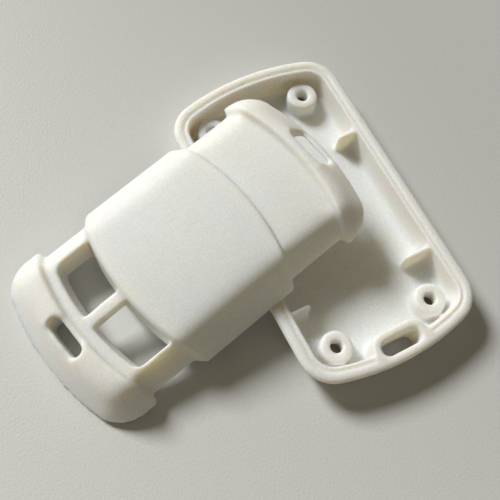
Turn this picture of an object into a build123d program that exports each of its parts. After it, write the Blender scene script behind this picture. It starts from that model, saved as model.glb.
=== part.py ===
"""Two-part moulded housing for a small tag: a tray-like lower shell and a domed upper shell.

The lower shell stands open side up.  The upper shell lies beside it with its parting face down:
its side walls rest on the tray's rim and one end corner touches the table.

Axes: X across the tray, Y along it, Z up.  Origin: centre of the tray's plan, on the table.
The shells are built in their own frames (length along X for the upper shell), then placed.
All sizes are in millimetres.
"""
import math
import os

from build123d import *

# ---------------------------------------------------------------- driving dimensions
WIDTH = 36.0            # outer width of both shells at the parting face
LENGTH = 64.4           # outer length over the bowed ends
CORNER_R = 6.7          # plan corner radius
END_BOW = 3.45          # how far each end bulges past its corners

# lower shell
TRAY_H = 6.8            # table to rim
TRAY_DRAFT = 19.0       # outer wall leans in by this angle towards the bottom
TRAY_BOTTOM_R = 1.8     # bottom edge rounding
FLOOR_T = 1.3           # floor thickness
RIM_W = 2.9             # full width of the rim face: land, seal groove and lip
LAND_W = 1.45           # outer land, up to the groove
GROOVE_W = 0.5          # seal groove
GROOVE_D = 0.4
RIM_BAND = 1.0          # upright part of the wall just under the rim
RIM_R = 0.85            # the rim's outer edge is well rounded
LIP_R = 0.3             # its inner edge only a little
CAVITY_DRAFT = 5.0
FLOOR_R = 1.2           # fillet between floor and wall

BOSS_X, BOSS_Y = 10.15, 24.1     # screw boss positions, half spacings
BOSS_D = 6.2
BOSS_TOP = TRAY_H - 2.1          # boss face, just under the circuit board
SCREW_D = 2.4                    # clearance hole
HEAD_D, HEAD_DEPTH = 4.6, 1.6    # counterbore from below

SLOT_L, SLOT_W = 8.0, 2.8        # strap slot through the near end
SLOT_X, SLOT_Y = 0.15, -28.9
SLOT_R = 1.3
SLOT_MOUTH_R = 0.4
LOOP_T = 1.65                    # wall round the strap slot

GUSSET_T = 1.0                   # ribs that stiffen the long walls
GUSSET_DROP = 0.7                # their top sits this far under the rim
GUSSETS = [(1, 11.9, 3.7), (1, -15.7, 5.4), (-1, -15.7, 4.2), (-1, 11.9, 3.7)]   # side, y, length

# upper shell
CROWN = 7.2             # height of the middle over the parting face
CROWN_ACROSS, CROWN_ALONG = 150.0, 400.0    # radii of the slightly crowned top
DRAFT = 36.0            # lean of the side and end walls
SHOULDER_R = 3.4        # rounding between wall and top
RECESS = 1.33           # frame and rear panel lie this far under the band and the end caps
WALL = 1.5
EDGE_R = 48.5           # plan radius shared by the ends and every cross step
BAND_FRONT, BAND_REAR = -14.05, 13.5  # apex of the band's two edges
CAP_FRONT, CAP_REAR = -23.8, 25.6     # apex of the caps' inner edges
# each cross step: apex, the way its face looks, rounding of its edge, fillet at its foot
BAND_STEPS = [(BAND_FRONT, -1, 1.2, 1.2), (BAND_REAR, 1, 0.4, 0.4)]
CAP_STEPS = [(CAP_FRONT, -1, 0.8, 0.5), (CAP_REAR, 1, 0.8, 0.7)]

WINDOW_FRONT = -21.8    # apex of the windows' front edge
WINDOW_HALF = 12.0      # half width of the pair
WINDOW_MID = -0.4       # the pair sits a little off the axis
WINDOW_CORNERS = (2.0, 0.5)           # corner radii at the cap and at the band
WINDOW_DRAFT = 8.0
BAR_W, BAR_H = 2.5, 2.6 # bar between the two windows
SHROUD_T = 1.3          # wall that drops from the window edges to the parting face

UPPER_SLOT_L, UPPER_SLOT_W = 8.2, 2.4
UPPER_SLOTS = [(-26.1, 0.6), (29.0, 1.0)]     # place along the shell, rounding of the mouth
UPPER_LOOP_T = 1.2

PILOT_D, PILOT_DEPTH = 2.0, 3.4       # self-tapping holes in the upper bosses
UPPER_BOSS_D = 5.4
UPPER_BOSS_GAP = 0.3    # the upper bosses stop this far over the parting face

# how the upper shell lies
LEAN_X, LEAN_Y = -25.99, 3.43    # its centre in plan
TURN = 11.75                     # turned this many degrees from the X axis


# ---------------------------------------------------------------- plan outline
def outline(width, length, corner, bow):
    """Closed plan outline, long axis along X: straight sides, bowed ends, round corners."""
    b = width / 2
    end_r = (b * b + bow * bow) / (2 * bow)
    end_c = length / 2 - end_r
    cy = b - corner
    cx = end_c + math.sqrt((end_r - corner) ** 2 - cy ** 2)
    k = end_r / (end_r - corner)
    tx, ty = end_c + (cx - end_c) * k, cy * k      # where corner and end arc meet
    a = math.atan2(ty, tx - end_c) / 2 + math.pi / 4
    mx, my = cx + corner * math.cos(a), cy + corner * math.sin(a)
    parts = []
    for s in (1, -1):
        parts += [
            Edge.make_line((-s * cx, -s * b), (s * cx, -s * b)),
            Edge.make_three_point_arc((s * cx, -s * b), (s * mx, -s * my), (s * tx, -s * ty)),
            Edge.make_three_point_arc((s * tx, -s * ty), (s * length / 2, 0), (s * tx, s * ty)),
            Edge.make_three_point_arc((s * tx, s * ty), (s * mx, s * my), (s * cx, s * b)),
        ]
    return Wire(parts)


def inset_outline(inset, corner=None):
    """The shared outline moved inwards by a constant distance, if asked with another corner radius."""
    b, e = WIDTH / 2, (WIDTH ** 2 / 4 + END_BOW ** 2) / (2 * END_BOW)
    w, r = b - inset, e - inset
    bow = r - math.sqrt(r * r - w * w)
    return outline(2 * w, LENGTH - 2 * inset, corner or max(CORNER_R - inset, 0.8), bow)


def turned(face_or_wire):
    """Long axis from X to Y, as the tray needs it."""
    return Rot(0, 0, 90) * face_or_wire


def rounded_slot(length, width, radius, height, x, y):
    body = extrude(RectangleRounded(length, width, radius), height)
    return Pos(x, y, 0) * body


def mouth_edges(body, x, y, length, width):
    """Upper edges of a slot that runs through `body` at x, y."""
    slack = 0.02
    picked = []
    for edge in body.edges():
        low, high = edge.bounding_box().min, edge.bounding_box().max
        inside = low.X > x - length / 2 - slack and high.X < x + length / 2 + slack
        inside = inside and low.Y > y - width / 2 - slack and high.Y < y + width / 2 + slack
        if inside and low.Z > 1 and edge.geom_type != GeomType.LINE or inside and low.Z > TRAY_H - slack:
            picked.append(edge)
    return picked


# ---------------------------------------------------------------- lower shell
def on_lip(edge):
    """True for the inner edge of the tray's rim face."""
    box = edge.bounding_box()
    inside = max(abs(box.min.X), abs(box.max.X)) < WIDTH / 2 - RIM_W + 0.01
    return inside and box.min.Z > TRAY_H - 0.01


def lower_shell():
    rim = Pos(0, 0, TRAY_H)
    low_rim = Pos(0, 0, TRAY_H - RIM_BAND) * turned(Face(inset_outline(0)))
    hull = extrude(low_rim, TRAY_H - RIM_BAND, dir=(0, 0, -1), taper=TRAY_DRAFT)
    hull = fillet(hull.faces().sort_by(Axis.Z)[0].edges(), TRAY_BOTTOM_R)
    band = extrude(low_rim, RIM_BAND, dir=(0, 0, 1))
    hull += fillet(band.faces().sort_by(Axis.Z)[-1].edges(), RIM_R)

    depth = TRAY_H - FLOOR_T
    cavity = extrude(rim * turned(Face(inset_outline(RIM_W))), depth, dir=(0, 0, -1), taper=CAVITY_DRAFT)
    cavity = fillet(cavity.faces().sort_by(Axis.Z)[0].edges(), FLOOR_R)
    body = hull - cavity
    body = fillet(body.edges().filter_by(lambda e: on_lip(e)), LIP_R)

    # strap loop: a rounded wall from floor to rim, joined to the end wall
    loop = extrude(RectangleRounded(SLOT_L + 2 * LOOP_T, 2 * 4.6, 2.6), TRAY_H - 0.6)
    loop = Pos(SLOT_X, SLOT_Y - 4.6 + SLOT_W / 2 + LOOP_T, 0.6) * loop
    body += loop & hull

    # ribs on the long walls
    for side, y, reach in GUSSETS:
        x_in = WIDTH / 2 - RIM_W - reach
        rib = Box(reach + 1.5, GUSSET_T, TRAY_H - GUSSET_DROP - 0.5, align=(Align.MIN, Align.CENTER, Align.MIN))
        rib = fillet(rib.edges().filter_by(Axis.Y).group_by(Axis.X)[0].sort_by(Axis.Z)[-1], 0.7)
        rib = Pos(x_in, y, 0.5) * rib
        body += hull & (rib if side > 0 else rib.mirror(Plane.YZ))

    # screw bosses with a clearance hole and a counterbore from below
    for sx in (1, -1):
        for sy in (1, -1):
            post = Cylinder(BOSS_D / 2, BOSS_TOP - 0.5, align=(Align.CENTER, Align.CENTER, Align.MIN))
            post = fillet(post.edges().sort_by(Axis.Z)[-1], 0.6)
            body += Pos(sx * BOSS_X, sy * BOSS_Y, 0.5) * post
    for sx in (1, -1):
        for sy in (1, -1):
            hole = Cylinder(SCREW_D / 2, TRAY_H * 2)
            head = Cylinder(HEAD_D / 2, HEAD_DEPTH * 2)
            body -= Pos(sx * BOSS_X, sy * BOSS_Y, 0) * (hole + head)

    body -= Pos(0, 0, -1) * rounded_slot(SLOT_L, SLOT_W, SLOT_R, TRAY_H + 2, SLOT_X, SLOT_Y)
    body = fillet(mouth_edges(body, SLOT_X, SLOT_Y, SLOT_L, SLOT_W), SLOT_MOUTH_R)

    # seal groove in the rim, stopped at the strap loop
    ring = Face(inset_outline(LAND_W)) - Face(inset_outline(LAND_W + GROOVE_W))
    groove = extrude(Pos(0, 0, TRAY_H - GROOVE_D) * turned(ring), GROOVE_D + 1)
    groove -= Pos(SLOT_X, -LENGTH / 2, TRAY_H) * Box(SLOT_L + 2 * LOOP_T + 0.6, 12, 6)
    body -= groove
    return body


# ---------------------------------------------------------------- upper shell
def shell_form(depth):
    """The outer form moved inwards by `depth`: leaning walls, round shoulder, crowned top."""
    lean_in = math.tan(math.radians(DRAFT))
    tall = CROWN - depth + 0.1
    inset = depth / math.cos(math.radians(DRAFT))
    corner = max(CORNER_R - inset, tall * lean_in + 0.4)
    walls = extrude(Face(inset_outline(inset, corner)), tall, taper=DRAFT)
    crown = Torus(CROWN_ALONG - CROWN_ACROSS, CROWN_ACROSS - depth)
    body = walls & (Pos(0, 0, CROWN - CROWN_ALONG) * Rot(90, 0, 0) * crown)
    top = body.faces().sort_by(Axis.Z)[-1]
    return fillet(top.edges(), max(SHOULDER_R - depth, 0.5))


def step_drop(y):
    """How far a cross step of radius EDGE_R falls back from its apex at y."""
    return EDGE_R - math.sqrt(EDGE_R ** 2 - y ** 2)


def arc_points(apex, sense, half):
    """Three points of a cross step: one side, apex, other side."""
    back = apex - sense * step_drop(half)
    return ((back, -half), (apex, 0), (back, half))


def face_between(front, rear):
    """Plan face between two cross steps, each an arc that bulges outwards at the axis."""
    half = WIDTH / 2 + 2
    near, far = arc_points(front, -1, half), arc_points(rear, 1, half)
    return Face(Wire([
        Edge.make_three_point_arc(*near),
        Edge.make_line(near[2], far[2]),
        Edge.make_three_point_arc(*reversed(far)),
        Edge.make_line(far[0], near[0]),
    ]))


def between(front, rear):
    """Tall block between two cross steps."""
    return extrude(Pos(0, 0, -5) * face_between(front, rear), 30, dir=(0, 0, 1))


def step_edges(body, apex, sense):
    """Edges that lie on one cross step, without those on the parting face."""
    def on_step(p):
        return abs(p.X - (apex - sense * step_drop(p.Y))) < 0.02
    edges = [e for e in body.edges() if all(on_step(e.position_at(k)) for k in (0, 0.5, 1))]
    return [e for e in edges if e.center().Z > 0.01]


def outer_form():
    """Frame and rear panel with the raised band and caps, edges rounded and feet filleted."""
    full, low = shell_form(0), shell_form(RECESS)
    band = full & between(BAND_FRONT, BAND_REAR)
    for apex, sense, edge_r, foot_r in BAND_STEPS:
        band = fillet(step_edges(band, apex, sense), edge_r)
    front_cap = full - between(CAP_FRONT, LENGTH)
    rear_cap = full - between(-LENGTH, CAP_REAR)
    (front, f_sense, f_edge, _), (rear, r_sense, r_edge, _) = CAP_STEPS
    front_cap = fillet(step_edges(front_cap, front, f_sense), f_edge)
    rear_cap = fillet(step_edges(rear_cap, rear, r_sense), r_edge)
    body = low + band + front_cap + rear_cap
    for apex, sense, edge_r, foot_r in BAND_STEPS + CAP_STEPS:
        body = fillet(step_edges(body, apex, sense), foot_r)
    return body


def window_block():
    """The pair of windows as one block, narrower towards the parting face."""
    face = face_between(WINDOW_FRONT, LENGTH) - face_between(BAND_FRONT, LENGTH)
    face = (face & (Pos(0, WINDOW_MID) * Rectangle(4 * LENGTH, 2 * WINDOW_HALF))).face()
    ends = face.vertices().sort_by(Axis.X)
    face = face.fillet_2d(WINDOW_CORNERS[0], ends[:2])
    block = extrude(Pos(0, 0, CROWN - RECESS) * face, CROWN + 1, dir=(0, 0, -1), taper=WINDOW_DRAFT)
    return block + extrude(Pos(0, 0, CROWN - RECESS) * face, 3, dir=(0, 0, 1))


def hollow():
    """The space inside: the form less its wall, less what stands in it."""
    space = shell_form(RECESS + WALL) + (shell_form(WALL) & between(BAND_FRONT + WALL, BAND_REAR - WALL))
    shroud = between(WINDOW_FRONT - SHROUD_T, LENGTH) - between(BAND_FRONT + SHROUD_T, LENGTH)
    space -= shroud & (Pos(0, WINDOW_MID, 0) * Box(4 * LENGTH, 2 * (WINDOW_HALF + SHROUD_T), 40))
    for x, _ in UPPER_SLOTS:
        loop = 2 * UPPER_LOOP_T
        space -= Pos(0, 0, -1) * rounded_slot(UPPER_SLOT_W + loop, UPPER_SLOT_L + loop, 2.3, 20, x, 0)
    for x, y in boss_places():
        space -= Pos(x, y, UPPER_BOSS_GAP + 10) * Cylinder(UPPER_BOSS_D / 2, 20)
    return space


def boss_places():
    return [(sx * BOSS_Y, sy * BOSS_X) for sx in (1, -1) for sy in (1, -1)]


def windows():
    """The pair of windows, less the bar between them."""
    bar = Pos(0, WINDOW_MID, 0) * Box(4 * LENGTH, BAR_W, 40) - shell_form(RECESS + BAR_H)
    return window_block() - bar


def upper_shell():
    body = outer_form()
    for x, mouth_r in UPPER_SLOTS:
        body -= Pos(0, 0, -1) * rounded_slot(UPPER_SLOT_W, UPPER_SLOT_L, UPPER_SLOT_W / 2 - 0.05, 20, x, 0)
        body = fillet(mouth_edges(body, x, 0, UPPER_SLOT_W, UPPER_SLOT_L), mouth_r)
    body = body - hollow() - windows()
    for x, y in boss_places():
        body -= Pos(x, y, 0) * Cylinder(PILOT_D / 2, 2 * PILOT_DEPTH)
    return body


def lean(body):
    """Lay the shell down: parting face on the tray's left rim, far corner on the table."""
    flat = Pos(LEAN_X, LEAN_Y, TRAY_H) * Rot(0, 0, TURN) * body
    plan = Pos(LEAN_X, LEAN_Y, 0) * Rot(0, 0, TURN) * Face(inset_outline(0))
    pivot = Vector(-WIDTH / 2, 0, TRAY_H)
    reach = pivot.X - plan.bounding_box().min.X
    angle = math.degrees(math.asin(TRAY_H / reach))
    return flat.rotate(Axis(pivot, (0, 1, 0)), -angle)


if __name__ == "__main__":
    os.makedirs("parts", exist_ok=True)
    tray = lower_shell()
    cover = lean(upper_shell())
    for name, shape in (("lower_shell", tray), ("upper_shell", cover)):
        shape.label = name
        box = shape.bounding_box()
        print(name, shape.is_valid, len(shape.solids()), round(shape.volume, 1), box.min, box.max)
        export_step(shape, "parts/%s.step" % name)
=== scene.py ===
# %% [markdown]
# # A two-part moulded housing, dressed for a render
# The part is a small plastic housing: a tray-like lower shell, open side up, and a domed upper
# shell that leans on the tray's rim.  The shells come from the CAD model as a fixed frame, and every
# piece made here is in metres and lies where its CAD solid lies.  So this lesson is about the floor,
# the light, the camera and, above all, the finish of the moulded plastic.

import math

import bmesh
import bpy
import numpy as np
from mathutils import Matrix, Vector


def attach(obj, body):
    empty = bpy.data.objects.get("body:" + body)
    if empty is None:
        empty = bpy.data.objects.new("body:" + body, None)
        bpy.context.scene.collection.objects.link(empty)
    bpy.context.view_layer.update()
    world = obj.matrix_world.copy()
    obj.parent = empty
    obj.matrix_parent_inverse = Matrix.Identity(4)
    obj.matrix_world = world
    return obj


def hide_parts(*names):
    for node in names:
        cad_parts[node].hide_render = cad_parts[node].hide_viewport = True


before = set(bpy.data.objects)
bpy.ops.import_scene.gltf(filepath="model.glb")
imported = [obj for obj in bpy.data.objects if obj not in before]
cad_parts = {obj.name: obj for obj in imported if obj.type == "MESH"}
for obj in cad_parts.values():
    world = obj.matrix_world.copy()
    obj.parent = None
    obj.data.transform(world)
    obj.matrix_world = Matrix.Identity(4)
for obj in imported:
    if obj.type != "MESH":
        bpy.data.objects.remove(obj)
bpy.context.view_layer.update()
MM = 0.001                      # the scene is in metres, the sizes below are in millimetres
print("CAD nodes:", sorted(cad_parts))


# %% [markdown]
# ## Three helpers
# A colour is easiest to read as an sRGB hex value, but a shader wants linear light, so one function
# turns the first into the second.  A node material is a list of nodes with settings and links.  It
# could be built one property at a time, but a function that adds a node with its settings and its
# links in one line keeps each material readable as a recipe.

# %% Linear colour, one way to add a node, and an empty material
MIX_FACTOR, MIX_A, MIX_B, MIX_RESULT = 0, 6, 7, 2      # sockets of a colour mix, whose names repeat


def linear(hex_colour):
    """sRGB hex to linear RGBA: a channel c becomes ((c + 0.055) / 1.055) ** 2.4, or c / 12.92 if dark."""
    channels = np.array([int(hex_colour[i:i + 2], 16) for i in (1, 3, 5)]) / 255
    lin = np.where(channels <= 0.04045, channels / 12.92, ((channels + 0.055) / 1.055) ** 2.4)
    return (*lin.tolist(), 1.0)


def add(tree, kind, settings=None, **links):
    """Adds a node; settings go to properties or sockets, links are (node, output) pairs for sockets."""
    node = tree.nodes.new(kind)
    for key, value in (settings or {}).items():
        if key in node.inputs:
            node.inputs[key].default_value = value
        else:
            setattr(node, key, value)
    for key, (source, output) in links.items():
        tree.links.new(source.outputs[output], node.inputs[key.replace("_", " ")])
    return node


def new_material(name):
    """An empty node material and its tree."""
    material = bpy.data.materials.new(name)
    material.use_nodes = True
    material.node_tree.nodes.clear()
    return material, material.node_tree


print("the plastic's colour in linear light is", [round(c, 3) for c in linear("#F3F3F2")])


# %% [markdown]
# ## Moulded ABS
# The housing is natural, off-white ABS, injection moulded in a tool whose cavity was blasted with
# fine grit.  That leaves a matt, faintly grained skin: no sharp reflections, only a soft sheen at
# grazing angles.  The resin isn't quite opaque, so thin walls that are lit from behind glow warm.
# A flat off-white would look like paper.  A Principled shader with high roughness gives the skin, a
# noise bump gives the grit, and subsurface scattering, longer in red than in blue, gives the glow.

# %% Moulded ABS: colour, grain, skin
GRAIN = 0.30 * MM               # grit marks, drawn a little coarser than the real ones so they show
GRIT_DEPTH = 0.07 * MM
CLOUD = 14 * MM                 # slow changes of tone left by the flow of the melt
GLOW_DEPTH = 2.6 * MM           # how far red light travels inside the plastic
GLOW_RATIO = (1.0, 0.72, 0.36)  # and how far green and blue do, next to red


def moulded_abs(name, colour, warm):
    """Off-white ABS: slow cloud between two near colours, grit bump, scattering under the skin."""
    material, tree = new_material(name)
    place = add(tree, "ShaderNodeTexCoord")
    cloud = add(tree, "ShaderNodeTexNoise", {"Scale": 1 / CLOUD, "Detail": 3.0}, Vector=(place, "Object"))
    grit = add(tree, "ShaderNodeTexNoise", {"Scale": 1 / GRAIN, "Detail": 2.0}, Vector=(place, "Object"))
    tone = add(tree, "ShaderNodeMix", {"data_type": "RGBA"}, Factor=(cloud, "Fac"))
    tone.inputs[MIX_A].default_value = linear(colour)
    tone.inputs[MIX_B].default_value = linear(warm)
    # painted glints: the grit's noise makes the colour 0.93 to 1.05 times as bright, like light catching
    # the grit
    glint = add(tree, "ShaderNodeMapRange", {
        "From Min": 0.3, "From Max": 0.7, "To Min": 0.93, "To Max": 1.05,
    }, Value=(grit, "Fac"))
    tone_with_painted_glints = add(tree, "ShaderNodeMix", {"data_type": "RGBA", "blend_type": "MULTIPLY"})
    tone_with_painted_glints.inputs[MIX_FACTOR].default_value = 1.0
    tree.links.new(tone.outputs[MIX_RESULT], tone_with_painted_glints.inputs[MIX_A])
    tree.links.new(glint.outputs["Result"], tone_with_painted_glints.inputs[MIX_B])
    bump = add(tree, "ShaderNodeBump", {"Strength": 0.6, "Distance": GRIT_DEPTH}, Height=(grit, "Fac"))
    skin = add(tree, "ShaderNodeBsdfPrincipled", {
        "Roughness": 0.55, "IOR": 1.53,
        "Subsurface Weight": 0.85, "Subsurface Scale": GLOW_DEPTH, "Subsurface Radius": GLOW_RATIO,
    }, Normal=(bump, "Normal"))
    tree.links.new(tone_with_painted_glints.outputs[MIX_RESULT], skin.inputs["Base Color"])
    add(tree, "ShaderNodeOutputMaterial", Surface=(skin, "BSDF"))
    return material


abs_skin = moulded_abs("sand-blasted ABS", "#F3F3F2", "#F1EFE7")
print("material ready:", abs_skin.name)


# %% [markdown]
# ## Soft moulded edges
# No edge of a moulded part is sharp: the tool is polished and blasted, and the melt shrinks away
# from its corners.  A CAD model stops at the roundings that were drawn, so each shell gets a skin
# of its own: the CAD surface is rebuilt as an even net of small quads, and rounds of averaging let
# every crease run out.  A Bevel modifier could do it, but it fails where many small faces meet.
# A few rounds go over everything.  Many more go over the upper shell's shoulders alone, where the
# walls roll over into the top, so their weight has to fade out near every step, window and slot.

# %% Where the upper shell lies, and its own frame
SHELL_X, SHELL_Y = -25.99, 3.43       # centre of the upper shell before it leans, in mm
SHELL_TURN = math.radians(11.75)
SHELL_LEAN = math.radians(9.657)      # it leans over the tray's left rim
RIM_X, RIM_Z = -18.0, 6.8             # the line that it leans on, which runs along Y

# The shell's own frame has its length along X and its parting face at z = 0.  It is turned about Z,
# moved to its place over the rim, and then leaned about the rim's line.
OWN_FRAME = (Matrix.Translation(Vector((RIM_X, 0, RIM_Z)) * MM)
             @ Matrix.Rotation(-SHELL_LEAN, 4, "Y")
             @ Matrix.Translation(Vector((SHELL_X - RIM_X, SHELL_Y, 0)) * MM)
             @ Matrix.Rotation(SHELL_TURN, 4, "Z"))
print("the upper shell's own origin is at", [round(v / MM, 2) for v in OWN_FRAME.translation], "mm")

# %% Where its shoulders are, in its own frame and in mm
STEP_RADIUS = 48.5                    # plan radius of the cross steps
STEPS = [(-14.05, -1), (13.5, 1), (-23.8, -1), (25.6, 1)]       # apex, way the step's face looks
SLOT_AT, SLOT_LENGTH, SLOT_WIDTH = 29.1, 8.8, 3.0               # strap slot in the rear cap
CUTS = [(-17.6, -0.4, 4.6, 12.4), (-26.1, 0.0, 1.6, 4.4), (SLOT_AT, 0.0, 1.8, 4.6)]   # x, y, half sizes
FOOT_KEPT, FOOT_FREE = 1.6, 3.2       # no weight below the first height, full weight above the second
STEP_KEPT, STEP_FREE = 0.7, 2.2       # the same for distances from a step
CUT_FREE = 1.2                        # and from the edge of a cut


def fade(value, start, end):
    """0 up to start, 1 from end, and 3 t^2 - 2 t^3 between them."""
    t = np.clip((value - start) / (end - start), 0, 1)
    return t * t * (3 - 2 * t)


def shoulder_weight(points):
    """1 on the rolled-over shoulders and the top, 0 at the foot and near steps, windows and slots."""
    x, y, z = points.T / MM
    weight = fade(z, FOOT_KEPT, FOOT_FREE)
    for apex, way in STEPS:
        step = apex - way * (STEP_RADIUS - np.sqrt(STEP_RADIUS ** 2 - y ** 2))
        weight = weight * fade(abs(x - step), STEP_KEPT, STEP_FREE)
    for cx, cy, half_x, half_y in CUTS:
        outside = np.maximum(abs(x - cx) - half_x, abs(y - cy) - half_y)
        weight = weight * fade(outside, 0.0, CUT_FREE)
    return weight


print("steps at", [apex for apex, _ in STEPS], "mm along the upper shell")


# %% [markdown]
# ## The strap slot
# The slot in the rear cap takes a strap, so its mouth is wide and soft, more so than the solid's.  The
# mouth could be shaped point by point, but it is simpler to cut a prism with half-round ends from the
# skin before the net is made: the averaging then rounds its edge with the rest.

# %% A tool that opens the strap slot
ARC_POINTS = 25                       # points round each half-round end
TOOL_LOW, TOOL_HIGH = -3.0, 12.0      # it reaches past both faces of the cap, in mm


def slot_tool(x, length, width):
    """A prism with half-round ends, point (x + r cos a, length / 2 - r + r sin a) and its mirror."""
    r = width / 2
    a = np.linspace(0, math.pi, ARC_POINTS)
    end = np.column_stack([r * np.cos(a), length / 2 - r + r * np.sin(a)])
    ring = np.vstack([end, -end]) + (x, 0)
    n = len(ring)
    points = MM * np.vstack([np.column_stack([ring, np.full(n, z)]) for z in (TOOL_LOW, TOOL_HIGH)])
    sides = [(i, (i + 1) % n, n + (i + 1) % n, n + i) for i in range(n)]
    mesh = bpy.data.meshes.new("slot_tool")
    mesh.from_pydata(points.tolist(), [], [tuple(range(n))[::-1], tuple(range(n, 2 * n)), *sides])
    return bpy.data.objects.new("slot_tool", mesh)


tool = slot_tool(SLOT_AT, SLOT_LENGTH, SLOT_WIDTH)
bpy.context.scene.collection.objects.link(tool)
print("slot tool has", len(tool.data.polygons), "faces")


# %% [markdown]
# ## An even net, and averaging
# A voxel Remesh makes quads of one size everywhere, which is what averaging needs.  The net follows
# the axes, so a shell that leans is first brought into its own frame, where its foot is level.  One
# round moves a point p towards the mean m of its neighbours, p' = p + w (m - p) / 2.  With w = 1 and
# n rounds a corner spreads over about net size * sqrt(n / 2).

# %% The net
NET = 0.285 * MM                # size of one quad of the net
MERGE = 0.002 * MM              # CAD triangles meet more closely than this


def even_net(node, own, cutter):
    """The node's surface in its own frame, merged, cut if asked, and rebuilt as a net of even quads."""
    copy = bmesh.new()
    copy.from_mesh(node.data)
    bmesh.ops.remove_doubles(copy, verts=copy.verts, dist=MERGE)
    copy.transform(own.inverted())
    merged = bpy.data.meshes.new(node.name + "_merged")
    copy.to_mesh(merged)
    copy.free()
    piece = bpy.data.objects.new(node.name + "_skin", merged)
    bpy.context.scene.collection.objects.link(piece)
    if cutter:
        cut = piece.modifiers.new("cut", "BOOLEAN")
        cut.object = cutter
        cut.solver = "EXACT"
    net = piece.modifiers.new("even net", "REMESH")
    net.mode = "VOXEL"
    net.voxel_size = NET
    net.use_smooth_shade = True
    view = bpy.context.evaluated_depsgraph_get()
    piece.data = bpy.data.meshes.new_from_object(piece.evaluated_get(view))
    piece.modifiers.clear()
    return piece


print("one quad is", round(NET / MM, 3), "mm wide")

# %% The averaging
ROUNDS = 4                      # rounds of averaging over everything
SHOULDER_ROUNDS = 110           # further rounds over the upper shell's shoulders


def points_and_edges(mesh):
    """The mesh's points, a row of x, y, z each, and its edges, a row of two point numbers each."""
    points = np.empty(3 * len(mesh.vertices))
    edges = np.empty(2 * len(mesh.edges), dtype=np.int32)
    mesh.vertices.foreach_get("co", points)
    mesh.edges.foreach_get("vertices", edges)
    return points.reshape(-1, 3), edges.reshape(-1, 2)


def averaged(points, edges, weight, rounds):
    """rounds times p' = p + weight (m - p) / 2, where m is the mean of the points joined to p."""
    one, two = edges.T
    count = np.bincount(edges.ravel(), minlength=len(points))[:, None]
    for _ in range(rounds):
        total = np.column_stack([
            np.bincount(one, points[two, k], len(points)) + np.bincount(two, points[one, k], len(points))
            for k in range(3)])
        points = points + weight[:, None] * (total / count - points) / 2
    return points


print("a corner spreads over about", round(NET / MM * math.sqrt(ROUNDS / 2), 2), "mm")


# %% [markdown]
# ## The seal line
# The tray's rim carries a fine line where the seal sits.  It is too fine for the net, so it is pressed
# in afterwards by moving points.  With d the distance inwards from the plan outline, a point of the
# rim's face drops by depth * cos^2(pi (d - seat) / (2 half)) for |d - seat| < half.  The outline is
# straight sides, round corners and bowed ends, so d has a short formula for each of the three.

# %% Distance inwards from the tray's outline
HALF_WIDTH, HALF_LENGTH, CORNER, BOW = 18.0, 32.2, 6.7, 3.45      # plan outline, in mm
END_RADIUS = (HALF_WIDTH ** 2 + BOW ** 2) / (2 * BOW)             # radius of the bowed ends
END_Y = HALF_LENGTH - END_RADIUS                                  # centre of an end's arc
CORNER_X = HALF_WIDTH - CORNER                                    # centre of a corner's arc
CORNER_Y = END_Y + math.sqrt((END_RADIUS - CORNER) ** 2 - CORNER_X ** 2)


def inwards(x, y):
    """Distance in from the outline, worked out in one quarter.

    Beside a side it is the half width minus |x|.  In a corner, and along an end, it is the arc's radius
    minus the distance from the arc's centre.  Corner and end meet on the line through both centres.
    """
    x, y = abs(x), abs(y)
    side = HALF_WIDTH - x
    corner = CORNER - np.hypot(x - CORNER_X, y - CORNER_Y)
    end = END_RADIUS - np.hypot(x, y - END_Y)
    along_end = (y - CORNER_Y) * CORNER_X > (x - CORNER_X) * (CORNER_Y - END_Y)
    return np.where(y < CORNER_Y, side, np.where(along_end, end, corner))


print("a point on the Y axis, 30 mm out, is", round(float(inwards(0.0, 30.0)), 2), "mm in")

# %% The seal line
SEAL_SEAT, SEAL_HALF, SEAL_DEPTH = 2.05, 0.45, 0.36               # distance in, half width, depth
RIM_LOW, RIM_FULL = 6.2, 6.5                                      # the line fades in over these heights
LOOP_X, LOOP_HALF, LOOP_Y, LOOP_FADE = 0.15, 5.9, -25.0, 0.5      # the line stops at the strap loop


def seal_line(points):
    """The tray's points with the seal line pressed into the rim."""
    x, y, z = points.T / MM
    phase = np.clip((inwards(x, y) - SEAL_SEAT) / SEAL_HALF, -1, 1)
    off_loop = fade(np.maximum(abs(x - LOOP_X) - LOOP_HALF, y - LOOP_Y), 0.0, LOOP_FADE)
    drop = SEAL_DEPTH * np.cos(phase * math.pi / 2) ** 2 * fade(z, RIM_LOW, RIM_FULL) * off_loop
    return points - np.outer(drop * MM, (0, 0, 1))


print("the seal line is", 2 * SEAL_HALF, "mm wide and", SEAL_DEPTH, "mm deep")


# %% [markdown]
# ## The two skins
# Each skin takes the place of its shell in the render, while the CAD solid stays in the scene, hidden.
# The tray keeps the scene's axes, and the upper shell is worked on in its own frame and put back.

# %% The two skins
for name, node in sorted(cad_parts.items()):
    leans = name == "upper_shell"
    own = OWN_FRAME if leans else Matrix.Identity(4)
    skin = even_net(node, own, tool if leans else None)
    mesh = skin.data
    points, edges = points_and_edges(mesh)
    points = averaged(points, edges, np.ones(len(points)), ROUNDS)
    if leans:
        points = averaged(points, edges, shoulder_weight(points), SHOULDER_ROUNDS)
    else:
        points = seal_line(points)
    mesh.vertices.foreach_set("co", points.ravel())
    mesh.transform(own)
    mesh.update()
    mesh.materials.clear()
    mesh.materials.append(abs_skin)
    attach(skin, "root")
    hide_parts(name)
    print("skin over", name, "has", len(mesh.polygons), "quads")
bpy.data.objects.remove(tool)
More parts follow.
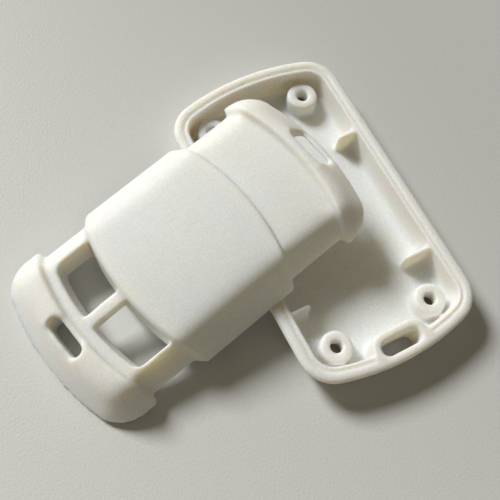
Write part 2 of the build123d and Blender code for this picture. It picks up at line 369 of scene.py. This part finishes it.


# %% [markdown]
# ## The floor
# The housing lies on a pale, matt board with a fine embossed grain, which the slanting light brings
# out.  A plain colour would look like a void, so a noise bump gives the grain.  The fall-off of a
# window's light is painted into the board's colour, so it is lighter on the left and darker on the right.

# %% A pale board
SPECK = 0.45 * MM                     # size of the board's grain
SPECK_DEPTH = 0.06 * MM
PAINTED_LIGHT_FROM, PAINTED_LIGHT_TO = -70 * MM, 40 * MM      # painted light: the board's colour falls off between these places on X
PAINTED_LIGHT_LEFT, PAINTED_LIGHT_RIGHT = 1.1, 0.84
FLOOR_HALF = 3000 * MM


def board_material(colour):
    """Matt pale board: fine embossed grain, and painted light, a colour that falls off slowly along X."""
    material, tree = new_material("pale matt board")
    place = add(tree, "ShaderNodeTexCoord")
    speck = add(tree, "ShaderNodeTexNoise", {"Scale": 1 / SPECK, "Detail": 2.0}, Vector=(place, "Object"))
    along = add(tree, "ShaderNodeSeparateXYZ", Vector=(place, "Object"))
    # painted light: the colour is 1.1 times as bright at the left and 0.84 times at the right, as window
    # light falls off
    tone = add(tree, "ShaderNodeMapRange", {
        "From Min": PAINTED_LIGHT_FROM, "From Max": PAINTED_LIGHT_TO, "To Min": PAINTED_LIGHT_LEFT, "To Max": PAINTED_LIGHT_RIGHT,
    }, Value=(along, "X"))
    base = add(tree, "ShaderNodeMix", {"data_type": "RGBA", "blend_type": "MULTIPLY"})
    base.inputs[MIX_FACTOR].default_value = 1.0
    base.inputs[MIX_A].default_value = linear(colour)
    tree.links.new(tone.outputs["Result"], base.inputs[MIX_B])
    bump = add(tree, "ShaderNodeBump", {"Strength": 0.7, "Distance": SPECK_DEPTH}, Height=(speck, "Fac"))
    skin = add(tree, "ShaderNodeBsdfPrincipled", {"Roughness": 0.45}, Normal=(bump, "Normal"))
    tree.links.new(base.outputs[MIX_RESULT], skin.inputs["Base Color"])
    add(tree, "ShaderNodeOutputMaterial", Surface=(skin, "BSDF"))
    return material


corners = np.array([(-1, -1, 0), (1, -1, 0), (1, 1, 0), (-1, 1, 0)]) * FLOOR_HALF
floor_mesh = bpy.data.meshes.new("floor")
floor_mesh.from_pydata(corners.tolist(), [], [(0, 1, 2, 3)])
floor = bpy.data.objects.new("floor", floor_mesh)
bpy.context.scene.collection.objects.link(floor)
floor_mesh.materials.append(board_material("#D8D9D6"))
print("floor at z = 0,", 2 * FLOOR_HALF, "m wide")


# %% [markdown]
# ## Light
# One lamp stands for a window behind on the left, about 38 degrees up.  A sun lamp lights evenly, and
# a wide angle gives it the soft shadow edges of a window.  A weak warm sky stands for the room and
# lights the shadows.  Where the board ends there is a pale wall.  It belongs to the world, and the
# Light Path node shows it to the camera and to reflections only, so it adds no other light.

# %% The lamp
LIGHT_RUN = Vector((0.39, -1.0, -0.85))      # the way the main light travels
LIGHT_STRENGTH = 3.1
LIGHT_WIDTH = math.radians(18)

sun_data = bpy.data.lights.new("window light", "SUN")
sun_data.energy = LIGHT_STRENGTH
sun_data.angle = LIGHT_WIDTH
sun = bpy.data.objects.new("window light", sun_data)
sun.rotation_euler = LIGHT_RUN.to_track_quat("-Z", "Y").to_euler()
bpy.context.scene.collection.objects.link(sun)
print("main light travels", [round(v, 2) for v in LIGHT_RUN.normalized()])

# %% The room
SKY_STRENGTH = 0.115
WALL_STRENGTH = 1.0

world = bpy.data.worlds.new("room")
world.use_nodes = True
room = world.node_tree
room.nodes.clear()
ray = add(room, "ShaderNodeLightPath")
sky = add(room, "ShaderNodeBackground", {"Color": linear("#FFEEC0"), "Strength": SKY_STRENGTH})
wall = add(room, "ShaderNodeBackground", {"Color": linear("#D2D3CE"), "Strength": WALL_STRENGTH})
mirrored = add(room, "ShaderNodeMath", {"operation": "MAXIMUM"})
room.links.new(ray.outputs["Is Glossy Ray"], mirrored.inputs[0])
room.links.new(ray.outputs["Is Transmission Ray"], mirrored.inputs[1])
in_view = add(room, "ShaderNodeMath", {"operation": "MAXIMUM"})
room.links.new(ray.outputs["Is Camera Ray"], in_view.inputs[0])
room.links.new(mirrored.outputs[0], in_view.inputs[1])
seen = add(room, "ShaderNodeMixShader", Fac=(in_view, "Value"))
room.links.new(sky.outputs[0], seen.inputs[1])
room.links.new(wall.outputs[0], seen.inputs[2])
add(room, "ShaderNodeOutputWorld", Surface=(seen, "Shader"))
bpy.context.scene.world = world
bpy.context.scene.view_settings.view_transform = "Standard"
print("sky strength", SKY_STRENGTH, "and wall strength", WALL_STRENGTH)


# %% [markdown]
# ## Camera
# The camera looks down from the near left.  It could be placed by hand, but two angles give its
# direction, a roll turns it about that direction, and it backs off from the point it looks at, so
# each number has one plain meaning.

# %% Camera
LOOK_AT = Vector((-15.99, -1.65, 6.8)) * MM
DISTANCE = 145.0 * MM
AZIMUTH, ELEVATION, ROLL = math.radians(41.615), math.radians(67.170), math.radians(14.499)
LENS, SENSOR = 57.43, 36              # focal length and sensor width, in mm as Blender takes them
NEAR_CLIP = 1 * MM

ahead = Vector((math.sin(AZIMUTH) * math.cos(ELEVATION), math.cos(AZIMUTH) * math.cos(ELEVATION),
                -math.sin(ELEVATION)))
right = ahead.cross(Vector((0, 0, 1))).normalized()
up = right.cross(ahead)
right_rolled = math.cos(ROLL) * right + math.sin(ROLL) * up
up_rolled = math.cos(ROLL) * up - math.sin(ROLL) * right
turn = Matrix((right_rolled, up_rolled, -ahead)).transposed()

camera_data = bpy.data.cameras.new("camera")
camera_data.lens = LENS
camera_data.sensor_width = SENSOR
camera_data.clip_start = NEAR_CLIP
camera = bpy.data.objects.new("camera", camera_data)
camera.matrix_world = Matrix.Translation(LOOK_AT - DISTANCE * ahead) @ turn.to_4x4()
bpy.context.scene.collection.objects.link(camera)
bpy.context.scene.camera = camera
print("camera at", [round(v / MM, 1) for v in camera.matrix_world.translation], "mm")
